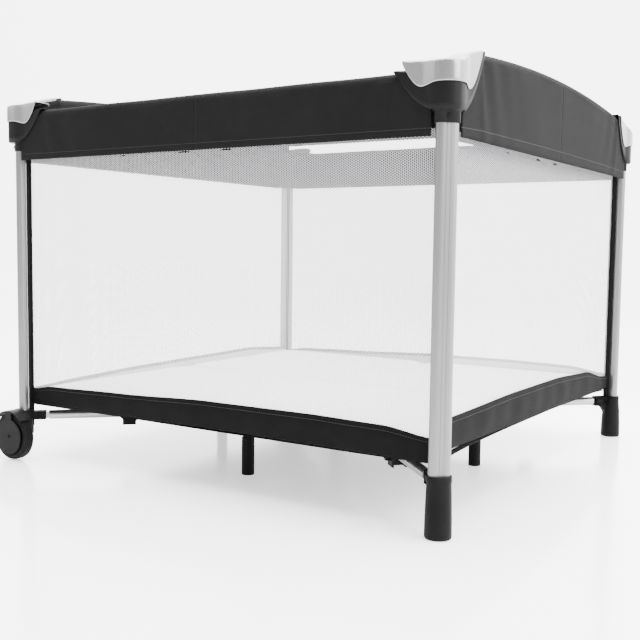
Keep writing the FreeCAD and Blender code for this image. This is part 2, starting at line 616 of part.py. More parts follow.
def build_sides():
    for side, (x, y, ends) in SIDES.items():
        arched = x != 0
        level = "side_level" if arched else "front_level"
        middle_turn = turned(90 if arched else 0)
        at = (f"{x} * half_pitch", f"{y} * half_pitch", 0)
        node(f"latch_{side}", latch(level), at, middle_turn)
        node(f"button_{side}", button(level), at, middle_turn)
        ring_at = (f"{x} * {RING}", f"{y} * {RING}", 0)
        node(f"mid_foot_{side}", mid_foot(), ring_at, middle_turn)
        for end, angle in ends.items():
            sign = {"right": 1, "left": -1, "front": -1, "back": 1}[end]
            corner = (at[0], f"{sign} * half_pitch", 0) if arched else (f"{sign} * half_pitch", at[1], 0)
            rail = arched_rail() if arched else straight_rail()
            node(f"rail_{side}_{end}", rail, corner, turned(angle))
            bar_at = (ring_at[0], f"{sign} * {RING}", 0) if arched else (f"{sign} * {RING}", ring_at[1], 0)
            node(f"bar_{side}_{end}", side_bar(), bar_at, turned(angle))


def build_cloth():
    inside, outside = "half_pitch - wall_in - cloth / 2", "half_pitch - wall_in + cloth / 2"
    walls = cut(square(outside, ("cloth_low + cloth + slip", "wall_top")),
                square(inside, ("0", "wall_top + 1")))
    node("mesh_walls", walls)
    tray = "half_pitch - wall_in + cloth / 2 + slip"
    base = cut(square(f"{tray} + cloth", ("cloth_low", "band_high")),
               square(tray, ("cloth_low + cloth", "band_high + 1")))
    node("base_cloth", base)
    node("mattress", fuse(square("half_pitch - mattress_in", ("cloth_low + cloth + slip", "mattress_high"))))
    covers = [
        put(cover(x != 0), (f"{x} * half_pitch", f"{y} * half_pitch", 0), turned(90 if x else 0))
        for x, y, ends in SIDES.values()
    ]
    node("rail_covers", group(*covers))


def check():
    """Every object built, every node one valid shape."""
    doc.recompute()
    for item in doc.Objects:
        if {"Invalid", "Error"} & set(item.State):
            raise RuntimeError(f"{item.Name} ({item.Label}) failed: {item.State}")
    for item in NODES:
        if item.Shape.isNull() or not item.Shape.isValid() or not item.Shape.Solids:
            raise RuntimeError(f"{item.Label} has no valid solid")


build_corners()
build_sides()
node("hub", hub())
node("centre_foot", fuse(post("hub_post_round", (0, "hub_low"))))
build_cloth()
check()
for item in NODES:
    item.Shape.exportStep(f"parts/{item.Label}.step")
print(len(NODES), "nodes written")
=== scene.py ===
"""Looks of the travel play yard: cloth, mouldings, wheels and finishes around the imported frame."""

import math
from collections import namedtuple

import bpy
import bmesh
from mathutils import Matrix, Vector


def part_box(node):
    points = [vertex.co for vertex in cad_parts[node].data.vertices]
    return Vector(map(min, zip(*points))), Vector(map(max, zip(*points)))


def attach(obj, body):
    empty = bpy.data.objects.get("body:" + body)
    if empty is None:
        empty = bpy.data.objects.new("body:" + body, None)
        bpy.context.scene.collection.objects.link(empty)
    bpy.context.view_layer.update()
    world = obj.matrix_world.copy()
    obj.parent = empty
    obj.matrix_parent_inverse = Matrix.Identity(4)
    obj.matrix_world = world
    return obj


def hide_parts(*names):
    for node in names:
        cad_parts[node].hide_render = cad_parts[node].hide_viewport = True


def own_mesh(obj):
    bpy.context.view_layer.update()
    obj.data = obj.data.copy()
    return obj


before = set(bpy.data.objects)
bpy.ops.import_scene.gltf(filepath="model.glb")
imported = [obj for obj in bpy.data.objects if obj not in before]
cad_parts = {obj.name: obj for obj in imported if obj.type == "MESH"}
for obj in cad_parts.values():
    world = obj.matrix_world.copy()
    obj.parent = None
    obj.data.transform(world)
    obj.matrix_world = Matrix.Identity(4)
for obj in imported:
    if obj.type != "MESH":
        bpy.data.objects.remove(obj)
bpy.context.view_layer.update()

bl_info = {
    "name": "Travel Play Yard",
    "version": (1, 0, 0),
    "blender": (4, 5, 0),
    "location": "3D View > Sidebar > Play Yard",
    "description": "Builds the cloth, mouldings and finishes of a folding play yard",
    "category": "Object",
}


def stands_at(node):
    """Where the middle of a node's box stands on the floor."""
    low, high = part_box(node)
    return Vector(((low.x + high.x) / 2, (low.y + high.y) / 2, 0))


# Places read from the frame, in metres
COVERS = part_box("rail_covers")
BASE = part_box("base_cloth")
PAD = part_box("mattress")
CORNERS = {
    name: stands_at(f"leg_{name}") for name in ("front_right", "front_left", "back_right", "back_left")
}
HALF = CORNERS["front_right"].x
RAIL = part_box("rail_front_right")
BRACKET_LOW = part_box("bracket_front_right")[0].z

# Sizes of the cloth and mouldings, in metres
FRONT_TOP = (RAIL[0].z + RAIL[1].z) / 2 + 0.0165   # top of a straight rail's cover
FLOOR_PIVOT = 0.085                                # height of the floor frame's pivots
UNDER_WING = 0.0038                                # gap from an arched cover to the cap's wing
SHIELD_PROUD = 0.0018                              # the bracket's shield above the cover
LEG_END = 0.0085                                   # from a leg's axis to the ends of a band

UP = Vector((0, 0, 1))
Side = namedtuple("Side", "out ends body")
SIDES = {
    # outward direction, its two corners along +X or +Y, and the body that its wall rides on
    "front": Side(Vector((0, -1, 0)), ("front_left", "front_right"), "front_right"),
    "back": Side(Vector((0, 1, 0)), ("back_left", "back_right"), "back_right"),
    "left": Side(Vector((-1, 0, 0)), ("front_left", "back_left"), "front_left"),
    "right": Side(Vector((1, 0, 0)), ("front_right", "back_right"), "front_right"),
}
OBJECT_COORDINATES = 3   # output of the Texture Coordinate node


# --- Materials

class Wire:
    """An output socket: arithmetic on it adds Math nodes to its material."""

    def __init__(self, finish, socket):
        self.finish, self.socket = finish, socket

    def maths(self, operation, *values):
        return self.finish.node("ShaderNodeMath", {"operation": operation}, dict(enumerate(values)))

    def __add__(self, other):
        return self.maths("ADD", self, other)

    def __sub__(self, other):
        return self.maths("SUBTRACT", self, other)

    def __rsub__(self, other):
        return self.maths("SUBTRACT", other, self)

    def __mul__(self, other):
        return self.maths("MULTIPLY", self, other)

    __radd__, __rmul__ = __add__, __mul__

    def sine(self):
        return self.maths("SINE", self)

    def cosine(self):
        return self.maths("COSINE", self)


class Finish:
    """A material under construction, around one Principled shader."""

    def __init__(self, name, **fixed):
        self.material = bpy.data.materials.new(name)
        self.material.use_nodes = True
        self.tree = self.material.node_tree
        self.tree.nodes.clear()
        self.shader = self.tree.nodes.new("ShaderNodeBsdfPrincipled")
        output = self.tree.nodes.new("ShaderNodeOutputMaterial")
        self.tree.links.new(self.shader.outputs[0], output.inputs["Surface"])
        self.feed(**fixed)

    def node(self, kind, settings=None, inputs=None, out=0):
        """Any node: its settings first, then its inputs' values or links."""
        made = self.tree.nodes.new(kind)
        for key, value in (settings or {}).items():
            if key == "stops":
                self.set_stops(made.color_ramp, value)
            else:
                setattr(made, key, value)
        for key, value in (inputs or {}).items():
            self.join(made.inputs[key], value)
        return Wire(self, made.outputs[out])

    @staticmethod
    def set_stops(ramp, stops):
        while len(ramp.elements) < len(stops):
            ramp.elements.new(0.5)
        for element, (place, shade) in zip(ramp.elements, stops):
            element.position = place
            element.color = (*shade, 1)

    def join(self, socket, value):
        if isinstance(value, Wire):
            self.tree.links.new(value.socket, socket)
        else:
            socket.default_value = value

    def feed(self, **values):
        for name, value in values.items():
            self.join(self.shader.inputs[name.replace("_", " ")], value)

    def where(self):
        """The point's place on the object, in metres."""
        return self.node("ShaderNodeTexCoord", out=OBJECT_COORDINATES)

    def axes(self):
        split = self.node("ShaderNodeSeparateXYZ", inputs={0: self.where()})
        return [Wire(self, split.socket.node.outputs[n]) for n in range(3)]

    def noise(self, scale, stretch=(1, 1, 1), detail=3.0):
        return self.node("ShaderNodeTexNoise", inputs={
            "Vector": self.node("ShaderNodeMapping", inputs={"Vector": self.where(), "Scale": stretch}),
            "Scale": scale, "Detail": detail})

    def shade(self, factor, dark, light):
        """A colour between dark and light, from the Mix node's colour sockets."""
        return self.node("ShaderNodeMix", {"data_type": "RGBA"},
                         {0: factor, 6: (*dark, 1), 7: (*light, 1)}, out=2)

    def bump(self, height, distance, strength=1.0):
        self.feed(Normal=self.node("ShaderNodeBump", inputs={
            "Height": height, "Distance": distance, "Strength": strength}))


def grey(level):
    """A grey, very slightly blue."""
    return (level, level, level * 1.02)


WEAVE_PITCH, KNIT_PITCH, QUILT_PITCH = 0.0013, 0.0039, 0.0018   # metres from one thread or hole to the next


def satin_aluminium():
    """Anodised extrusion: drawn along its length, with faint colour bands."""
    made = Finish("satin_aluminium", Metallic=0.8)
    lines = made.noise(900.0, (1, 1, 0.01), 2.0)
    cloud = made.noise(14.0, (1, 1, 0.4))
    made.feed(Base_Color=made.shade(cloud, grey(0.15), grey(0.2)), Roughness=0.3 + 0.14 * lines)
    made.bump(lines, 0.00015, 0.35)
    return made.material


def cap_silver():
    """Glossy silver paint on a moulding, with a little grime and flow."""
    made = Finish("cap_silver", Metallic=0.8, Coat_Roughness=0.12)
    cloud, fine = made.noise(22.0), made.noise(420.0)
    made.feed(Base_Color=made.shade(cloud, grey(0.2), grey(0.26)), Coat_Weight=0.15 + 0.15 * cloud,
              Roughness=0.24 + 0.1 * fine)
    made.bump(fine, 0.0002, 0.25)
    return made.material


def moulded_black(name, level=0.0035, rough=0.36):
    """Moulded plastic: a fine spark grain, and paler rubbed patches."""
    made = Finish(name, Specular_IOR_Level=0.06)
    grain, wear = made.noise(1500.0, detail=2.0), made.noise(18.0)
    made.feed(Base_Color=made.shade(wear, grey(level), grey(level * 1.9)),
              Roughness=rough + 0.12 * wear + 0.08 * grain)
    made.bump(grain, 0.0002, 0.4)
    return made.material


def woven_black(name, level=0.0028):
    """Tight plain weave: warp and weft ridges, slubs and a soft sheen."""
    made = Finish(name, Sheen_Weight=0.005, Sheen_Roughness=0.4, Specular_IOR_Level=0.06)
    x, y, z = made.axes()
    thread = 2 * math.pi / WEAVE_PITCH
    warp, weft = ((x + y) * thread).sine(), (z * thread).sine()
    weave = (warp * weft) * 0.5 + 0.5
    slub, cloud = made.noise(260.0, (1, 1, 8)), made.noise(9.0)
    made.feed(Base_Color=made.shade(weave * 0.45 + cloud * 0.55, grey(level), grey(level * 2.6)),
              Roughness=0.72 + 0.18 * slub)
    made.bump(weave + slub * 0.6, 0.0004, 0.5)
    return made.material


def knitted_mesh():
    """See-through warp-knitted mesh: round holes on a triangular grid."""
    made = Finish("knitted_mesh", Sheen_Weight=0.1)
    x, y, z = made.axes()
    along = x + y
    beat = 4 * math.pi / (math.sqrt(3) * KNIT_PITCH)
    hole = None
    for angle in (0, 60, 120):
        wave = ((along * math.cos(math.radians(angle)) + z * math.sin(math.radians(angle))) * beat).cosine()
        hole = wave if hole is None else hole + wave
    opening = made.node("ShaderNodeMapRange", inputs={"Value": hole, "From Min": -1.2, "From Max": -0.5})
    cloud = made.noise(30.0)
    made.feed(Base_Color=made.shade(cloud, (0.52, 0.52, 0.545), (0.62, 0.62, 0.64)),
              Roughness=0.7 + 0.1 * cloud, Alpha=1 - opening * 0.94)
    made.bump(1 - opening, 0.0004, 0.4)
    return made.material


def quilted_white():
    """Brushed white cover cloth: fine weave with soft puckers."""
    made = Finish("quilted_white", Sheen_Weight=0.25)
    x, y = made.axes()[:2]
    thread = 2 * math.pi / QUILT_PITCH
    weave = ((x * thread).sine() * (y * thread).sine()) * 0.5 + 0.5
    pucker = made.noise(36.0)
    made.feed(Base_Color=made.shade(pucker * 0.7 + weave * 0.3, (0.74, 0.74, 0.745), (0.84, 0.84, 0.84)),
              Roughness=0.8 + 0.1 * weave)
    made.bump(weave * 0.3 + pucker, 0.0012, 0.5)
    return made.material


def drawn_steel():
    """Plated tube: bright, with drawing lines and dull patches."""
    made = Finish("drawn_steel", Metallic=0.95)
    cloud, fine = made.noise(24.0), made.noise(700.0)
    made.feed(Base_Color=made.shade(cloud, grey(0.3), grey(0.4)),
              Roughness=0.26 + 0.16 * cloud + 0.06 * fine)
    made.bump(fine, 0.0001, 0.3)
    return made.material


def stitch_thread():
    """Twisted black thread."""
    made = Finish("stitch_thread")
    twist = made.noise(2400.0)
    made.feed(Base_Color=made.shade(twist, grey(0.003), grey(0.008)), Roughness=0.6 + 0.2 * twist)
    return made.material


def studio_floor():
    """Pale glossy floor."""
    made = Finish("studio_floor", Emission_Strength=0.9)
    cloud = made.noise(3.0)
    made.feed(Base_Color=made.shade(cloud, (0.9, 0.9, 0.9), (0.92, 0.92, 0.92)),
              Roughness=0.13 + 0.04 * cloud, Emission_Color=made.shade(cloud, (0.97, 0.97, 0.97), (1, 1, 1)))
    return made.material


FINISHES = {
    "leg": satin_aluminium,
    "cap": cap_silver,
    "black": lambda: moulded_black("moulded_black"),
    "foot": lambda: moulded_black("foot_black", 0.0025, 0.42),
    "wheel": lambda: moulded_black("wheel_black", 0.003, 0.45),
    "button": lambda: moulded_black("button_grey", 0.12, 0.4),
    "cloth": lambda: woven_black("cover_cloth"),
    "band": lambda: woven_black("band_cloth", 0.002),
    "mesh": knitted_mesh,
    "mattress": quilted_white,
    "tube": drawn_steel,
    "thread": stitch_thread,
    "floor": studio_floor,
}
MADE = {}


def finish_of(key):
    """The finish of that name, made once."""
    if key not in MADE:
        MADE[key] = FINISHES[key]()
    return MADE[key]


# --- Mesh helpers

def linked(name, data):
    """A new object in the scene."""
    made = bpy.data.objects.new(name, data)
    bpy.context.scene.collection.objects.link(made)
    return made


def smoothed(mesh):
    mesh.polygons.foreach_set("use_smooth", [True] * len(mesh.polygons))
    return mesh


def mesh_from(name, shape):
    """The working shape as a smooth mesh; the shape is freed."""
    mesh = bpy.data.meshes.new(name)
    shape.to_mesh(mesh)
    shape.free()
    return smoothed(mesh)


def new_piece(name, mesh, key, body, nodes=()):
    """Register a finished mesh as a piece on its body, in place of nodes."""
    made = linked(name, mesh)
    mesh.materials.clear()
    mesh.materials.append(finish_of(key))
    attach(made, body)
    if nodes:
        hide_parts(*nodes)
    return made


def grid_mesh(name, rows, closed_across=False, closed_along=False, caps=False, smooth=True):
    """A mesh through rows of points; every row has the same count."""
    mesh = bpy.data.meshes.new(name)
    count, wide = len(rows), len(rows[0])
    faces = []
    for i in range(count if closed_along else count - 1):
        for j in range(wide if closed_across else wide - 1):
            a, b = i * wide + j, i * wide + (j + 1) % wide
            step = ((i + 1) % count) * wide
            faces.append((a, b, step + (j + 1) % wide, step + j))
    if caps:
        faces.append(tuple(range(wide))[::-1])
        faces.append(tuple((count - 1) * wide + j for j in range(wide)))
    mesh.from_pydata([p[:] for row in rows for p in row], [], faces)
    mesh.polygons.foreach_set("use_smooth", [smooth] * len(faces))
    return recalculated(mesh)


def recalculated(mesh):
    """The mesh with its doubles merged and its faces turned outwards."""
    shape = bmesh.new()
    shape.from_mesh(mesh)
    bmesh.ops.remove_doubles(shape, verts=shape.verts, dist=1e-6)
    bmesh.ops.recalc_face_normals(shape, faces=shape.faces)
    shape.to_mesh(mesh)
    shape.free()
    mesh.update()
    return mesh


def thickened(mesh, thickness, levels=0):
    """The mesh with a wall about its surface, and subdivision, as a plain mesh."""
    made = linked("working", mesh)
    wall = made.modifiers.new("Wall", "SOLIDIFY")
    wall.thickness, wall.offset, wall.use_even_offset = thickness, 0.0, True
    if levels:
        soft = made.modifiers.new("Soft", "SUBSURF")
        soft.levels = soft.render_levels = levels
    return plain(made)


def plain(made):
    """An object's evaluated mesh; the object and its modifiers are removed."""
    bpy.context.view_layer.update()
    shown = made.evaluated_get(bpy.context.evaluated_depsgraph_get())
    mesh = bpy.data.meshes.new_from_object(shown)
    mesh.name = made.name
    bpy.data.objects.remove(made)
    return mesh


def joined(name, meshes):
    """Several meshes as one."""
    shape = bmesh.new()
    for mesh in meshes:
        shape.from_mesh(mesh)
    return mesh_from(name, shape)


def lathe(name, profile, centre, axis, steps=64):
    """A closed ring of (radius, along) points turned about an axis."""
    axis = Vector(axis).normalized()
    side = axis.orthogonal().normalized()
    other = axis.cross(side)
    rows = []
    for n in range(steps):
        angle = 2 * math.pi * n / steps
        out = side * math.cos(angle) + other * math.sin(angle)
        rows.append([Vector(centre) + axis * along + out * radius for radius, along in profile])
    return grid_mesh(name, rows, closed_across=True, closed_along=True)


def rounded_box(name, low, high, edge, transform=Matrix()):
    """A box with rounded edges, as a mesh."""
    shape = bmesh.new()
    bmesh.ops.create_cube(shape, size=1)
    low, high = Vector(low), Vector(high)
    for vertex in shape.verts:
        spread = Vector(c * s for c, s in zip(vertex.co, high - low))
        vertex.co = transform @ ((low + high) / 2 + spread)
    bmesh.ops.bevel(shape, geom=shape.edges[:], offset=edge, segments=3, affect="EDGES", profile=0.5)
    return recalculated(mesh_from(name, shape))


def smoothstep(value, low=0.0, high=1.0):
    """0 below low, 1 above high and an eased rise between."""
    share = min(1.0, max(0.0, (value - low) / (high - low)))
    return share * share * (3 - 2 * share)


def through(points, at):
    """A smooth height through a few (place, height) points."""
    if at <= points[0][0]:
        return points[0][1]
    for (x0, y0), (x1, y1) in zip(points, points[1:]):
        if at <= x1:
            eased = (y1 - y0) * smoothstep((at - x0) / (x1 - x0)) * 0.5
            return y0 + eased + (y1 - y0) * 0.5 * (at - x0) / (x1 - x0)
    return points[-1][1]


# --- Geometry nodes

class Recipe:
    """A Geometry Nodes tree under construction, with named inputs."""

    def __init__(self, name, **inputs):
        self.tree = bpy.data.node_groups.new(name, "GeometryNodeTree")
        face = self.tree.interface
        face.new_socket("Geometry", in_out="INPUT", socket_type="NodeSocketGeometry")
        self.identifiers = {}
        for label, value in inputs.items():
            made = face.new_socket(label, in_out="INPUT", socket_type="NodeSocketFloat")
            made.default_value = value
            self.identifiers[label] = made.identifier
        face.new_socket("Geometry", in_out="OUTPUT", socket_type="NodeSocketGeometry")
        self.entry = self.tree.nodes.new("NodeGroupInput")
        self.exit = self.tree.nodes.new("NodeGroupOutput")

    def node(self, kind, settings=None, inputs=None):
        """Any node: its settings first, then its inputs' values or links."""
        made = self.tree.nodes.new(kind)
        for key, value in (settings or {}).items():
            setattr(made, key, value)
        for key, value in (inputs or {}).items():
            if isinstance(value, bpy.types.NodeSocket):
                self.tree.links.new(value, made.inputs[key])
            else:
                made.inputs[key].default_value = value
        return made.outputs[0]

    def given(self, label):
        return self.entry.outputs[label]

    def end(self, instances, key):
        """Realize the instances and give them their material."""
        real = self.node("GeometryNodeRealizeInstances", inputs={0: instances})
        painted = self.node("GeometryNodeSetMaterial", inputs={"Geometry": real, "Material": finish_of(key)})
        self.tree.links.new(painted, self.exit.inputs[0])

    def run(self, name, mesh, **values):
        """The tree applied to a mesh, as a plain mesh."""
        carrier = linked(name, mesh)
        modifier = carrier.modifiers.new("Recipe", "NODES")
        modifier.node_group = self.tree
        for label, value in values.items():
            modifier[self.identifiers[label]] = value
        return plain(carrier)


def pointed_mesh(name, points, directions):
    """Loose points that carry the direction each copy faces."""
    mesh = bpy.data.meshes.new(name)
    mesh.from_pydata([p[:] for p in points], [], [])
    facing = mesh.attributes.new("facing", "FLOAT_VECTOR", "POINT")
    for item, direction in zip(facing.data, directions):
        item.vector = direction
    return mesh


def screw_recipe():
    """A domed head with a socket, on each point."""
    recipe = Recipe("screw_heads", Radius=0.0045, Height=0.0016)
    shape = recipe.tree.nodes.new("GeometryNodeJoinGeometry")
    for sides, share, depth in (
        (24, 1.0, recipe.given("Height")), (24, 0.78, 0.0026), (6, 0.36, 0.0034),   # head, crown, socket
    ):
        radius = recipe.node("ShaderNodeMath", {"operation": "MULTIPLY"},
                             {0: recipe.given("Radius"), 1: share})
        part = recipe.node("GeometryNodeMeshCylinder", {"fill_type": "NGON"},
                           {"Vertices": sides, "Radius": radius, "Depth": depth})
        recipe.tree.links.new(part, shape.inputs[0])
    facing = recipe.node("GeometryNodeInputNamedAttribute", {"data_type": "FLOAT_VECTOR"}, {"Name": "facing"})
    turn = recipe.node("FunctionNodeAlignRotationToVector", {"axis": "Z"}, {"Vector": facing})
    placed = recipe.node("GeometryNodeInstanceOnPoints", inputs={
        "Points": recipe.given("Geometry"), "Instance": shape.outputs[0], "Rotation": turn})
    recipe.end(placed, "black")
    return recipe


def stitch_recipe():
    """Short raised stitches along a line."""
    recipe = Recipe("stitches", Spacing=0.0045, Length=0.003, Radius=0.0004)
    line = recipe.node("GeometryNodeMeshToCurve", inputs={0: recipe.given("Geometry")})
    points = recipe.node("GeometryNodeCurveToPoints", {"mode": "LENGTH"},
                         {"Curve": line, "Length": recipe.given("Spacing")})
    turn = recipe.node("FunctionNodeAlignRotationToVector", {"axis": "Z"},
                       {"Vector": points.node.outputs["Tangent"]})
    thread = recipe.node("GeometryNodeMeshCylinder", {"fill_type": "NGON"}, {
        "Vertices": 5, "Radius": recipe.given("Radius"), "Depth": recipe.given("Length")})
    placed = recipe.node("GeometryNodeInstanceOnPoints", inputs={
        "Points": points, "Instance": thread, "Rotation": turn})
    recipe.end(placed, "thread")
    return recipe


def line_mesh(name, points):
    """A line of edges for stitches to follow."""
    mesh = bpy.data.meshes.new(name)
    mesh.from_pydata([p[:] for p in points], [(n, n + 1) for n in range(len(points) - 1)], [])
    return mesh


# --- Corner frames

def rail_frames(name):
    """For a corner: (direction along the rail, outward direction) of its straight and arched rails."""
    place = CORNERS[name]
    across, deep = math.copysign(1, place.x), math.copysign(1, place.y)
    straight = (Vector((-across, 0, 0)), Vector((0, deep, 0)))
    arched = (Vector((0, -deep, 0)), Vector((across, 0, 0)))
    return straight, arched


def inward_of(name):
    """Level direction from a corner to the hub."""
    place = CORNERS[name]
    return Vector((-place.x, -place.y, 0)).normalized()


def wing_top(s):
    """Ridge of the cap's wing over an arched rail, s metres from the leg's axis."""
    low, rise, first, tip = 0.7215, 0.0275, 0.004, 0.08
    return low + rise * max(0.0, (s - first) / (tip - first)) ** 0.7


def arch_top(s):
    """Top of an arched rail's cover, which dips to pass under the cap's wing."""
    crown, bend = COVERS[1].z - 0.0005, 3.9
    return min(crown - (HALF - s) ** 2 / (2 * bend), wing_top(s) - UNDER_WING)


def sweep_corner(name, reach, tips, low, high, lip, inner=0.017, flare=0.006):
    """Rows of a saddle round a corner's outside: down the straight rail, round, along the arched one.

    low and high give heights from (share, s), share being 0 on the straight rail and 1 on the arched one.
    reach is the outward distance over the rails, tips are how far the two wings go, lip is how far the
    inner edge turns down, inner is how far the top runs inwards and flare is how much the corner swells."""
    place = CORNERS[name]
    frames = rail_frames(name)
    steps, turns, climb, bend, rim = 16, 12, 6, 5, 0.006
    stations = [(0, tips[0] * n / steps, *frames[0]) for n in range(steps, 0, -1)]
    for n in range(turns + 1):
        angle = math.pi / 2 * n / turns
        out = frames[0][1] * math.cos(angle) + frames[1][1] * math.sin(angle)
        stations.append((n / turns, 0.0, Vector(), out))
    stations += [(1, tips[1] * n / steps, *frames[1]) for n in range(1, steps + 1)]
    rows = []
    for share, s, along, out in stations:
        far = reach + flare * (1 - smoothstep(s, 0.008, 0.034))
        bottom, top = low(share, s), high(share, s)
        back = min(inner, s)
        base = place + along * s
        edge = min(rim, (top - bottom) / 3)
        row = [base + out * far + UP * (bottom + (top - edge - bottom) * n / climb) for n in range(climb + 1)]
        for n in range(1, bend + 1):
            angle = math.pi / 2 * n / bend
            row.append(base + out * (far - edge + edge * math.cos(angle))
                       + UP * (top - edge + edge * math.sin(angle)))
        for n in range(1, bend + 1):
            row.append(base + out * ((far - edge) * (1 - n / bend) - back * n / bend) + UP * top)
        row.append(base - out * (back + 0.0005) + UP * (top - lip * smoothstep(s, 0.01, 0.02)))
        rows.append(row)
    return rows


def shield_low(share, s):
    """Lower edge of the bracket's shield: level at the barrel, then steeper up to its tip."""
    past, bend = max(0.0, s - 0.02), 10.5 if share < 0.5 else 13.1
    return min(BRACKET_LOW + 0.019 + 0.35 * past + bend * past * past, shield_high(share, s) - 0.003)


def cap_low(share, s):
    """Lower edge of the cap: a point beside the barrel, then up to the wing's tip."""
    at_point, point, over_barrel = 0.036, 0.683, 0.6885
    if s < at_point:
        return over_barrel - (over_barrel - point) * smoothstep(s, 0.006, at_point)
    tip, top = (0.068, 0.7205) if share < 0.5 else (0.08, 0.745)
    return point + (top - point) * ((s - at_point) / (tip - at_point)) ** 1.7


def cap_high(share, s):
    """Upper face of the cap: nearly level over a straight rail, and the wing's ridge over an arched one."""
    if share < 0.5:
        return 0.7215 + 0.0025 * smoothstep(s, 0.01, 0.06)
    return wing_top(s)


def shield_high(share, s):
    """Upper edge of the bracket's shield, just over the cover."""
    if share < 0.5:
        return FRONT_TOP + SHIELD_PROUD
    return FRONT_TOP + SHIELD_PROUD + (arch_top(s) - FRONT_TOP) * smoothstep(s, 0.0, 0.012)


def oval_loft(name, centre, wide_direction, rings):
    """A closed loft of rounded ovals; rings are (height, wide, thick, roundness)."""
    across = Vector(wide_direction)
    other = UP.cross(across)
    steps, rows = 48, []
    for height, wide, thick, power in rings:
        row = []
        for n in range(steps):
            angle = 2 * math.pi * n / steps
            c, s = math.cos(angle), math.sin(angle)
            x = math.copysign(abs(c) ** (2 / power), c) * wide / 2
            y = math.copysign(abs(s) ** (2 / power), s) * thick / 2
            row.append(Vector(centre) + across * x + other * y + UP * height)
        rows.append(row)
    return grid_mesh(name, rows, closed_across=True, caps=True)


# --- Pieces. Each maker's operator says what it makes; all take the scene's sizes.

def paint_frame(settings):
    kinds = (
        ("leg_", "leg"), ("rail_cover", "cloth"), ("rail_", "tube"), ("arm_", "tube"), ("bar_", "tube"),
        ("mid_foot", "foot"), ("centre_foot", "foot"), ("foot_", "foot"), ("button", "button"),
        ("wheel_bracket", "black"), ("wheel_", "wheel"), ("", "black"),
    )
    for name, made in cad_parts.items():
        key = next(key for start, key in kinds if name.startswith(start))
        for place in made.material_slots:
            place.material = finish_of(key)
        if not made.material_slots:
            made.data.materials.append(finish_of(key))


def make_brackets(settings):
    low = BRACKET_LOW
    for name, place in CORNERS.items():
        across = UP.cross(inward_of(name))
        collar = oval_loft("collar", place, across, [
            (low + 0.0006, 0.0384, 0.0212, 2.4), (low, 0.0394, 0.0222, 2.4),
            (low + 0.0015, 0.0406, 0.0233, 2.4), (low + 0.0165, 0.0406, 0.0233, 2.4),
            (low + 0.0185, 0.0418, 0.030, 2.2), (low + 0.020, 0.0440, 0.044, 2.0),
        ])
        barrel = oval_loft("barrel", place, across, [
            (low + 0.0176, 0.0432, 0.0432, 2.0), (low + 0.019, 0.0454, 0.0454, 2.0),
            (low + 0.0215, 0.0458, 0.0458, 2.0), (low + 0.056, 0.0458, 0.0458, 2.0),
            (low + 0.083, 0.0450, 0.0450, 2.0),
        ])
        rows = sweep_corner(name, 0.0171, (0.0825, 0.0935), shield_low, shield_high, lip=0.012,
                            inner=0.0168, flare=0.0056)
        shield = thickened(grid_mesh("shield", rows), settings.moulding_wall)
        whole = joined(f"bracket_shell_{name}", [collar, barrel, shield])
        new_piece(whole.name, whole, "black", name, [f"bracket_{name}"])


def make_caps(settings):
    for name in CORNERS:
        rows = sweep_corner(name, 0.0192, (0.068, 0.080), cap_low, cap_high, lip=0.006)
        mesh = thickened(grid_mesh("cap", rows), settings.moulding_wall, levels=1)
        new_piece(f"corner_cap_{name}", mesh, "cap", name, [f"cap_{name}"])


def gusset(turn, sign):
    """A curved web from a boot to one cheek of its fork, on the sign side of the arm."""
    start, reach, top, drop, steps = 0.012, 0.028, 0.080, 0.034, 10
    near, far = sign * 0.0046, sign * 0.0078
    rows = []
    for n in range(steps + 1):
        x, low = start + reach * n / steps, 0.076 - drop * (1 - (n / steps)) ** 2.2
        rows.append([turn @ Vector((x, y, z)) for y, z in ((far, low), (near, low), (near, top), (far, top))])
    return grid_mesh("web", rows, closed_across=True, caps=True, smooth=False)


def make_boots(settings):
    for name in ("front_right", "back_right"):
        place, inward = CORNERS[name], inward_of(name)
        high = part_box(f"foot_{name}")[1].z
        boot = oval_loft("boot", place, UP.cross(inward), [
            (0.0, 0.0405, 0.0405, 2.1), (0.0012, 0.0424, 0.0424, 2.1), (0.004, 0.0430, 0.0430, 2.1),
            (0.030, 0.0422, 0.0418, 2.1), (0.062, 0.0404, 0.0384, 2.15), (high - 0.012, 0.0392, 0.0322, 2.2),
            (high - 0.009, 0.0404, 0.0330, 2.2), (high - 0.0015, 0.0400, 0.0310, 2.3),
            (high, 0.0388, 0.0290, 2.3), (high - 0.0008, 0.0364, 0.0192, 2.4),
        ])
        turn = Matrix.Translation(place) @ inward.to_track_quat("X", "Z").to_matrix().to_4x4()
        cheeks = [
            rounded_box("cheek", (0.010, low, 0.0745), (0.0450, low + 0.0036, 0.0945), 0.0012, turn)
            for low in (-0.0080, 0.0044)
        ]
        whole = joined(f"boot_{name}", [boot, *cheeks, gusset(turn, -1), gusset(turn, 1)])
        new_piece(whole.name, whole, "foot", name, [f"foot_{name}"])


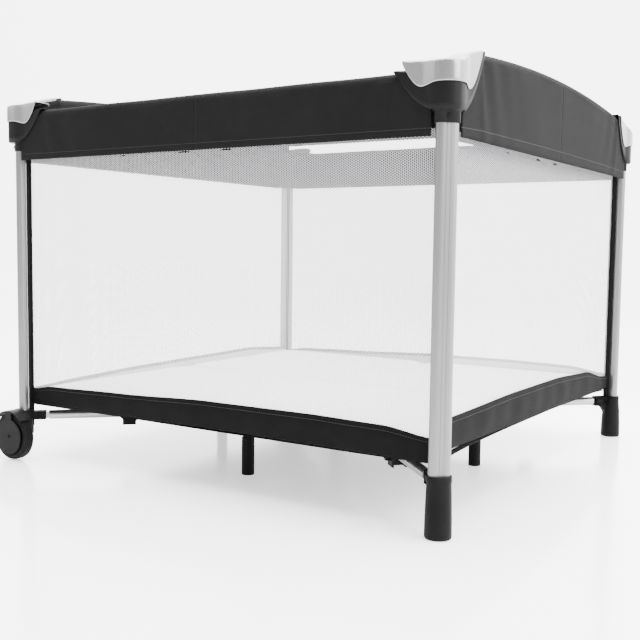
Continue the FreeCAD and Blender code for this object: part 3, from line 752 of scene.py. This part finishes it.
def make_wheels(settings):
    bore, boss, web, groove = 0.0043, 0.0120, 0.0042, 0.0007
    for name in ("front_left", "back_left"):
        low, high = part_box(f"wheel_{name}")
        outward = math.copysign(1, CORNERS[name].y)
        centre = Vector(((low.x + high.x) / 2, low.y if outward > 0 else high.y, (low.z + high.z) / 2))
        wide, radius = high.y - low.y, (high.x - low.x) / 2
        profile = [
            (bore, 0.0003), (boss, 0.0003), (boss + 0.0008, 0.0030), (0.0150, web), (radius - 0.0140, web),
            (radius - 0.0115, 0.0010), (radius - 0.0050, 0.0004), (radius - 0.0012, 0.0026),
            (radius - 0.0002, 0.0058), (radius, wide * 0.35),
            (radius - groove, wide * 0.36), (radius - groove, wide * 0.40), (radius, wide * 0.41),
            (radius, wide * 0.59), (radius - groove, wide * 0.60), (radius - groove, wide * 0.64),
            (radius, wide * 0.65), (radius - 0.0002, wide - 0.0058), (radius - 0.0012, wide - 0.0026),
            (radius - 0.0050, wide - 0.0004), (radius - 0.0115, wide - 0.0010), (radius - 0.0140, wide - web),
            (0.0150, wide - web), (boss + 0.0008, wide - 0.0030), (boss, wide - 0.0004),
            (bore, wide - 0.0004),
        ]
        mesh = lathe("wheel", profile, centre, (0, outward, 0), 96)
        new_piece(f"road_wheel_{name}", mesh, "wheel", f"wheel_{name}", [f"wheel_{name}"])


COVER_START = 0.020                 # from the leg's axis to a cover's end, in metres
COVER_HALF = 0.0150                 # half a cover's thickness over the rail
COVER_STEPS, SKIRT_STEPS = 90, 14   # along a half cover, and down one side of it
STITCH_ROW = 2                      # the point of a row that the hem's stitches follow


def cover_rows(side, end_name, settings):
    """Rows of one half cover: outer hem, over the rail, inner hem; from the leg to the side's middle."""
    out, place = SIDES[side].out, CORNERS[end_name]
    arched = out.x != 0
    along = Vector((0, -place.y, 0) if arched else (-place.x, 0, 0)).normalized()
    low_edge = COVERS[0].z
    past_middle, clear_of_cap, fading = 0.0003, 0.1, 0.06
    hem_tall, hem_proud = 0.013, 0.0004
    tuck, tuck_reach, tuck_low, tuck_high = 0.019, 0.04, 0.648, 0.685
    rows = []
    for n in range(COVER_STEPS + 1):
        s = COVER_START + (HALF + past_middle - COVER_START) * n / COVER_STEPS
        top = arch_top(s) if arched else FRONT_TOP + 0.0003 * math.sin(s * 31)
        free = smoothstep(s, 0.082, clear_of_cap)
        fade = free * math.exp(-max(0.0, s - clear_of_cap) / fading)
        row = []
        depth = top - COVER_HALF - low_edge
        for m in range(SKIRT_STEPS + 1):
            down = 1 - m / SKIRT_STEPS
            z = low_edge + depth * (1 - down)
            crease = math.sin(95 * (s - 0.045) + 34 * (z - low_edge) + (1.5 if arched else 0))
            slow = math.sin(23 * s + 17 * z + (2.0 if arched else 0.4))
            shift = settings.wrinkle_depth * (
                fade * crease * (1 - 0.4 * down) + 0.35 * free * slow * (1 - down))
            hem = hem_proud * smoothstep(hem_tall - (z - low_edge), -0.001, 0.001)
            row.append(place + along * s + out * (COVER_HALF - 0.0012 * down + shift + hem) + UP * z)
        for m in range(1, SKIRT_STEPS):
            angle = math.pi * m / SKIRT_STEPS
            lump = 1 + 0.02 * math.sin(s * 60) * fade
            row.append(place + along * s + out * COVER_HALF * math.cos(angle) * lump
                       + UP * (top - COVER_HALF + COVER_HALF * math.sin(angle)))
        for m in range(SKIRT_STEPS + 1):
            down = m / SKIRT_STEPS
            z = top - COVER_HALF - depth * down
            shift = settings.wrinkle_depth * 0.4 * math.sin(41 * s + 20 * z)
            row.append(place + along * s - out * (COVER_HALF - 0.0015 * down + shift * down) + UP * z)
        for point in row:
            tucked = smoothstep(point.z, tuck_low, tuck_high) * max(0.0, 1 - (s - COVER_START) / tuck_reach)
            point += along * (tuck * tucked)
        rows.append(row)
    return rows


def make_covers(settings):
    stitches = stitch_recipe()
    for side, parts in SIDES.items():
        for end in parts.ends:
            rail_end = end.split("_")[1 if parts.out.x == 0 else 0]
            rail = f"rail_{side}_{rail_end}"
            rows = cover_rows(side, end, settings)
            middle = rows[COVER_STEPS // 2]
            girth = sum((a - b).length for a, b in zip(middle, middle[1:]))
            mesh = thickened(grid_mesh("cover", rows), settings.cloth_wall)
            made = new_piece(f"cover_{side}_{rail_end}", mesh, "cloth", rail, ["rail_covers"])
            proud = parts.out * 0.0005
            hem = stitches.run("hem", line_mesh("hem", [row[STITCH_ROW] + proud for row in rows]),
                               Spacing=settings.stitch_spacing)
            thread = new_piece(f"hem_stitches_{side}_{rail_end}", hem, "thread", rail)
            for piece in (made, thread):
                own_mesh(piece)


def gather(piece):
    """Give a wall piece a mesh of its own."""
    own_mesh(piece)


def wall_frame(side, setback, end):
    """Start, direction and length of a side's wall, setback inside the legs' axes, end short of them."""
    first, last = (CORNERS[name] for name in SIDES[side].ends)
    along = (last - first).normalized()
    return first - SIDES[side].out * setback + along * end, along, (last - first).length - 2 * end


def band_top(side):
    """The upper edge of a side's band."""
    return BAND_TOPS["straight" if SIDES[side].out.x == 0 else side]


def inner_hem(side):
    """White tape inside the band, which leaves the band's top edge showing."""
    start, along, length = wall_frame(side, 0.0107, LEG_END)
    low, shown, steps, tall = 0.128, 0.0075, 64, 4
    rows = []
    for n in range(steps + 1):
        share = n / steps
        top = through(band_top(side), 2 * share - 1) - shown
        rows.append([start + along * (length * share) + UP * (low + (top - low) * m / tall)
                     for m in range(tall + 1)])
    tape = new_piece(f"wall_hem_{side}", grid_mesh("hem", rows), "mattress", SIDES[side].body)
    gather(tape)
    return tape


def make_walls(settings):
    low, high, inward_bow = 0.130, 0.626, 0.0035
    steps, tall, binding_tall, binding_below = 48, 24, 30, 4
    binding_in, wide, edge, thick = 0.0060, 0.0063, 0.0067, 0.0009
    section = ((-wide, -thick), (wide, -thick), (edge, 0.0), (wide, thick), (-wide, thick), (-edge, 0.0))
    for side, parts in SIDES.items():
        start, along, length = wall_frame(side, 0.012, 0.004)
        rows = []
        for n in range(steps + 1):
            share = n / steps
            bow = inward_bow * math.sin(math.pi * share)
            rows.append([
                start + along * (length * share) - parts.out * bow * math.sin(math.pi * m / tall)
                + UP * (low + (high - low) * m / tall) for m in range(tall + 1)
            ])
        mesh = grid_mesh("wall", rows)
        wall = new_piece(f"mesh_wall_{side}", mesh, "mesh", parts.body, ["mesh_walls"])
        gather(wall)
        edges = [inner_hem(side)]
        for end, share, sign in (("a", 0.0, 1), ("b", 1.0, -1)):
            centre = start + along * (length * share + sign * binding_in)
            strip = [
                [centre + along * x + parts.out * y + UP * (low + (high - low) * m / binding_tall)
                 for x, y in section]
                for m in range(-binding_below, binding_tall + 1)
            ]
            mesh = grid_mesh("binding", strip, closed_across=True, caps=True)
            binding = new_piece(f"binding_{side}_{end}", mesh, "cloth", parts.body)
            gather(binding)
            edges.append(binding)


BAND_TOPS = {
    # (place along the side from -1 to 1, height) of the band's upper edge, which differs left and right
    "straight": ((-0.97, 0.143), (-0.86, 0.151), (-0.42, 0.156), (0.0, 0.1635), (0.5, 0.1645), (0.8, 0.162),
                 (0.97, 0.151)),
    "left": ((-0.97, 0.143), (-0.7, 0.150), (-0.35, 0.156), (0.2, 0.160), (0.6, 0.163), (0.97, 0.152)),
    "right": ((-0.97, 0.172), (-0.9, 0.178), (-0.3, 0.183), (0.2, 0.182), (0.62, 0.173), (0.90, 0.149),
              (0.97, 0.145)),
}
BAND_LOWS = {
    "straight": ((-0.97, 0.1095), (-0.8, 0.1095), (0.0, 0.114), (0.8, 0.112), (0.97, 0.111)),
    "arched": ((-0.97, 0.127), (-0.5, 0.125), (0.0, 0.122), (0.5, 0.119), (0.97, 0.117)),
}


def make_bands(settings):
    stitches = stitch_recipe()
    steps, tall, stitch_row, slack = 96, 12, 10, 1.02
    for side, parts in SIDES.items():
        lows = BAND_LOWS["straight" if parts.out.x == 0 else "arched"]
        start, along, length = wall_frame(side, 0.0092, LEG_END)
        rows = []
        for n in range(steps + 1):
            share = n / steps
            at = 2 * share - 1
            top, low = through(band_top(side), at), max(through(lows, at), BASE[0].z + 0.001)
            ripple = 0.0011 * math.sin(29 * share + 2) + 0.0008 * math.sin(71 * share)
            row = []
            for m in range(tall + 1):
                up = m / tall
                ends = smoothstep(min(share, 1 - share), 0, 0.05)
                belly = (0.0032 + ripple) * math.sin(math.pi * up) * ends
                piping = 0.0006 * smoothstep(up, 0.9, 0.96)
                row.append(start + along * (length * share) + parts.out * (belly + piping)
                           + UP * (low + (top - low) * up))
            rows.append(row)
        mesh = thickened(grid_mesh("band", rows), settings.cloth_wall)
        band = new_piece(f"base_band_{side}", mesh, "band", parts.body, ["base_cloth"])
        line = line_mesh("line", [row[stitch_row] + parts.out * 0.0009 for row in rows])
        thread_mesh = stitches.run("band_stitches", line, Spacing=settings.stitch_spacing)
        thread = new_piece(f"band_stitches_{side}", thread_mesh, "thread", parts.body)
        for piece in (band, thread):
            gather(piece)


def quadrant(name):
    """Signs of a corner's quarter of the floor."""
    place = CORNERS[name]
    return math.copysign(1, place.x), math.copysign(1, place.y)


def gather_quarter(piece):
    """Give a floor quarter a mesh of its own."""
    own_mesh(piece)


def lift(x, y):
    """How far the floor's underside rises towards the band of an arched side."""
    rise, begins, ends = 0.0105, HALF - 0.17, HALF - 0.02
    return rise * smoothstep(abs(x), begins, ends) * (1 - (y / HALF) ** 4)


def make_floor_cloth(settings):
    height, size = BASE[0].z + 0.0012, HALF - 0.0125
    seam, steps = 0.0002, 24
    places = [seam + (size - seam) * n / steps for n in range(steps + 1)]
    for name in CORNERS:
        x, y = quadrant(name)
        rows = [[Vector((x * across, y * deep, height)) for deep in places] for across in places]
        for row in rows:
            for point in row:
                point.z += lift(point.x, point.y)
        mesh = thickened(grid_mesh("floor_cloth", rows), settings.cloth_wall)
        made = new_piece(f"floor_cloth_{name}", mesh, "band", f"arm_{name}", ["base_cloth"])
        gather_quarter(made)


def pad_quarter(settings):
    """A quarter of the mattress in the +X, +Y quadrant, swollen by a cloth simulation."""
    low, high = PAD[0].z + 0.0012, PAD[1].z - 0.003
    seam, size = 0.001, HALF - 0.0165
    voxel, pressure, last_frame, sideways = 0.006, 3.0, 14, 0.12
    pad = linked("pad", rounded_box("pad", (seam, seam, low), (size, size, high), settings.pad_edge))
    remesh = pad.modifiers.new("Remesh", "REMESH")
    remesh.mode, remesh.voxel_size, remesh.use_smooth_shade = "VOXEL", voxel, True
    mesh = plain(pad)
    for vertex in mesh.vertices:
        under = smoothstep(high - vertex.co.z, 0.0, high - low)
        vertex.co.z += lift(vertex.co.x, vertex.co.y) * under
    rest = [v.co.copy() for v in mesh.vertices]
    pad = linked("pad", mesh)
    cloth = pad.modifiers.new("Cloth", "CLOTH")
    cloth.settings.use_pressure = True
    cloth.settings.uniform_pressure_force = pressure
    cloth.settings.effector_weights.gravity = 0
    cloth.settings.quality = 4
    for number in range(1, last_frame + 1):
        bpy.context.scene.frame_set(number)
    swollen = plain(pad)
    bpy.context.scene.frame_set(1)
    for vertex, before in zip(swollen.vertices, rest):
        move = vertex.co - before
        if move.length > settings.pad_swell:
            move = move.normalized() * settings.pad_swell
        crown = 1 if before.z > (low + high) / 2 else 0
        vertex.co = before + Vector((move.x * sideways, move.y * sideways, move.z * crown))
    return swollen


def make_mattress(settings):
    quarter = pad_quarter(settings)
    for name in CORNERS:
        x, y = quadrant(name)
        mesh = quarter.copy()
        mesh.transform(Matrix.Diagonal((x, y, 1, 1)))
        mesh = smoothed(recalculated(mesh))
        made = new_piece(f"mattress_{name}", mesh, "mattress", f"arm_{name}", ["mattress"])
        gather_quarter(made)


def make_screws(settings):
    recipe = screw_recipe()
    spots = {}
    over_collar, collar_face = 0.009, 0.0117
    pivot_in, fork_face = 0.026 * math.sqrt(2), 0.0084
    foot_reach, foot_face = 0.022, 0.0067

    def add(body, point, direction):
        spots.setdefault(body, []).append((Vector(point), Vector(direction).normalized()))

    for name, place in CORNERS.items():
        inward = inward_of(name)
        across = UP.cross(inward)
        add(name, place - inward * collar_face + UP * (BRACKET_LOW + over_collar), -inward)
        pivot = place + inward * pivot_in + UP * FLOOR_PIVOT
        for sign in (-1, 1):
            add(name, pivot + across * sign * fork_face, across * sign)
    for side, parts in SIDES.items():
        low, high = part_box(f"mid_foot_{side}")
        middle, along = (low + high) / 2, UP.cross(parts.out)
        for sign in (-1, 1):
            for face in (-1, 1):
                pivot = Vector((middle.x, middle.y, FLOOR_PIVOT)) + along * sign * foot_reach
                add(f"mid_foot_{side}", pivot + parts.out * face * foot_face, parts.out * face)
    for name in ("front_left", "back_left"):
        low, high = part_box(f"wheel_{name}")
        cover_low, cover_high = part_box(f"wheel_bracket_{name}")
        outward = math.copysign(1, CORNERS[name].y)
        face = cover_high.y if outward > 0 else cover_low.y
        add(name, ((low.x + high.x) / 2, face, (low.z + high.z) / 2), (0, outward, 0))
    for body, places in spots.items():
        mesh = recipe.run("screws", pointed_mesh("spots", *zip(*places)), Radius=settings.screw_radius)
        new_piece(f"screws_{body}", mesh, "black", body)


def make_sky(strength):
    """A room of white light that is brightest at the back."""
    world = bpy.data.worlds.new("studio")
    world.use_nodes = True
    sky = world.node_tree
    brightest, dim_share = Vector((0.22, 0.95, 0.2)).normalized(), 0.2
    where = sky.nodes.new("ShaderNodeTexCoord")
    facing = sky.nodes.new("ShaderNodeVectorMath")
    facing.operation = "DOT_PRODUCT"
    facing.inputs[1].default_value = brightest
    fade = sky.nodes.new("ShaderNodeMapRange")
    fade.interpolation_type = "SMOOTHSTEP"
    for name, value in {"From Min": -0.35, "From Max": 0.55, "To Min": strength * dim_share,
                        "To Max": strength}.items():
        fade.inputs[name].default_value = value
    back = sky.nodes["Background"]
    back.inputs["Color"].default_value = (1, 1, 1, 1)
    sky.links.new(where.outputs["Generated"], facing.inputs[0])
    sky.links.new(facing.outputs["Value"], fade.inputs["Value"])
    sky.links.new(fade.outputs[0], back.inputs["Strength"])
    bpy.context.scene.world = world


def make_stage(settings):
    floor_half, floor_drop, aim = 14, 0.0008, Vector((0, 0, 0.3))
    shape = bmesh.new()
    bmesh.ops.create_grid(shape, x_segments=1, y_segments=1, size=floor_half)
    floor = linked("floor", mesh_from("floor", shape))
    floor.location.z = -floor_drop
    floor.data.materials.append(finish_of("floor"))
    make_sky(settings.sky_strength)
    for name, place, size, power in (   # metres, metres, watts
        ("key_right", (3.2, -0.6, 2.2), 2.2, 190), ("fill_left", (-3.0, -2.6, 2.4), 2.6, 50),
        ("top", (0.0, 0.2, 3.4), 3.8, 420), ("back", (-0.6, 3.6, 1.8), 2.6, 70),
    ):
        lamp = bpy.data.lights.new(name, "AREA")
        lamp.size, lamp.energy = size, power
        light = linked(name, lamp)
        light.location = place
        light.rotation_euler = (aim - Vector(place)).to_track_quat("-Z", "Y").to_euler()
    make_camera()


def make_camera():
    """The camera, from its place, its lens in millimetres and its three turns in degrees."""
    place, sensor, focal = (1.0716, -1.7430, 0.4451), 36.0, 51.68
    yaw, pitch, roll = map(math.radians, (32.78, -4.58, 0.733))
    ahead = Vector((-math.sin(yaw) * math.cos(pitch), math.cos(yaw) * math.cos(pitch), math.sin(pitch)))
    right = ahead.cross(UP).normalized()
    above = right.cross(ahead)
    level = right * math.cos(roll) + above * math.sin(roll)
    tall = above * math.cos(roll) - right * math.sin(roll)
    lens = bpy.data.cameras.new("camera")
    lens.sensor_width, lens.lens = sensor, focal
    camera = linked("camera", lens)
    camera.location = place
    camera.rotation_euler = Matrix((level, tall, -ahead)).transposed().to_euler()
    bpy.context.scene.camera = camera


# --- Add-on

class YardSettings(bpy.types.PropertyGroup):
    """Sizes that a user would change."""

    cloth_wall: bpy.props.FloatProperty(
        name="Cloth", description="Thickness of the cover and band cloth", default=0.0012,
        min=0.0005, unit="LENGTH")
    moulding_wall: bpy.props.FloatProperty(
        name="Moulding wall", description="Wall of the corner mouldings", default=0.0016,
        min=0.0008, unit="LENGTH")
    wrinkle_depth: bpy.props.FloatProperty(
        name="Wrinkles", description="Depth of the creases beside the corner caps", default=0.0018,
        min=0.0, unit="LENGTH")
    stitch_spacing: bpy.props.FloatProperty(
        name="Stitch spacing", description="Distance from one stitch to the next", default=0.0045,
        min=0.002, unit="LENGTH")
    screw_radius: bpy.props.FloatProperty(
        name="Screw radius", description="Radius of the screw heads", default=0.0045,
        min=0.001, unit="LENGTH")
    pad_edge: bpy.props.FloatProperty(
        name="Mattress edge", description="Radius of the mattress's edges", default=0.008,
        min=0.002, unit="LENGTH")
    pad_swell: bpy.props.FloatProperty(
        name="Mattress swell", description="Most that the mattress's filling lifts its cover", default=0.006,
        min=0.0, unit="LENGTH")
    sky_strength: bpy.props.FloatProperty(
        name="Studio brightness", description="Strength of the even studio light", default=6.5, min=0.0)


def built(make, context):
    """Run one maker with the scene's sizes, for an operator."""
    make(context.scene.play_yard)
    return {"FINISHED"}


class YARD_OT_paint_frame(bpy.types.Operator):
    """Give every carried-over part its finish."""

    bl_idname = "yard.paint_frame"
    bl_label = "Finish the frame"

    def execute(self, context):
        return built(paint_frame, context)


class YARD_OT_brackets(bpy.types.Operator):
    """Collar, barrel and wrapped shield of each corner bracket."""

    bl_idname = "yard.brackets"
    bl_label = "Corner brackets"

    def execute(self, context):
        return built(make_brackets, context)


class YARD_OT_caps(bpy.types.Operator):
    """The glossy saddle over each corner bracket."""

    bl_idname = "yard.caps"
    bl_label = "Corner caps"

    def execute(self, context):
        return built(make_caps, context)


class YARD_OT_boots(bpy.types.Operator):
    """Tapered boots with a lip, a curved gusset and the arm's fork."""

    bl_idname = "yard.boots"
    bl_label = "Boots"

    def execute(self, context):
        return built(make_boots, context)


class YARD_OT_wheels(bpy.types.Operator):
    """Wheels with a rounded tread, a moulded rim and a hub boss."""

    bl_idname = "yard.wheels"
    bl_label = "Wheels"

    def execute(self, context):
        return built(make_wheels, context)


class YARD_OT_covers(bpy.types.Operator):
    """Padded covers over the top rails, split at each side's middle where the rail folds."""

    bl_idname = "yard.covers"
    bl_label = "Rail covers"

    def execute(self, context):
        return built(make_covers, context)


class YARD_OT_walls(bpy.types.Operator):
    """See-through walls with a bound edge at each leg."""

    bl_idname = "yard.walls"
    bl_label = "Mesh walls"

    def execute(self, context):
        return built(make_walls, context)


class YARD_OT_bands(bpy.types.Operator):
    """The black band round the foot of the walls, drooping at its corners, with a piped top edge."""

    bl_idname = "yard.bands"
    bl_label = "Base band"

    def execute(self, context):
        return built(make_bands, context)


class YARD_OT_floor_cloth(bpy.types.Operator):
    """The cloth under the mattress, a quarter over each arm."""

    bl_idname = "yard.floor_cloth"
    bl_label = "Floor cloth"

    def execute(self, context):
        return built(make_floor_cloth, context)


class YARD_OT_mattress(bpy.types.Operator):
    """The white mattress as four hinged quarters, which the arms carry up as it folds."""

    bl_idname = "yard.mattress"
    bl_label = "Mattress"

    def execute(self, context):
        return built(make_mattress, context)


class YARD_OT_screws(bpy.types.Operator):
    """Screw heads on the brackets, boots, wheel covers, fittings and mid feet."""

    bl_idname = "yard.screws"
    bl_label = "Screws"

    def execute(self, context):
        return built(make_screws, context)


class YARD_OT_stage(bpy.types.Operator):
    """Pale floor, a room that is brightest at the back, soft lights and the camera."""

    bl_idname = "yard.stage"
    bl_label = "Stage"

    def execute(self, context):
        return built(make_stage, context)


OPERATORS = [
    YARD_OT_paint_frame, YARD_OT_brackets, YARD_OT_caps, YARD_OT_boots, YARD_OT_wheels,
    YARD_OT_covers, YARD_OT_walls, YARD_OT_bands, YARD_OT_floor_cloth, YARD_OT_mattress,
    YARD_OT_screws, YARD_OT_stage,
]


class YARD_PT_panel(bpy.types.Panel):
    """The yard's builders and sizes."""

    bl_label = "Travel Play Yard"
    bl_idname = "YARD_PT_panel"
    bl_space_type = "VIEW_3D"
    bl_region_type = "UI"
    bl_category = "Play Yard"

    def draw(self, context):
        settings = context.scene.play_yard
        for name in settings.__annotations__:
            self.layout.prop(settings, name)
        for operator in OPERATORS:
            self.layout.operator(operator.bl_idname)


CLASSES = [YardSettings, *OPERATORS, YARD_PT_panel]


def register():
    for item in CLASSES:
        bpy.utils.register_class(item)
    bpy.types.Scene.play_yard = bpy.props.PointerProperty(type=YardSettings)


def unregister():
    del bpy.types.Scene.play_yard
    for item in reversed(CLASSES):
        bpy.utils.unregister_class(item)


def main():
    register()
    for operator in OPERATORS:
        getattr(bpy.ops.yard, operator.bl_idname.split(".")[1])()


if __name__ == "__main__":
    main()
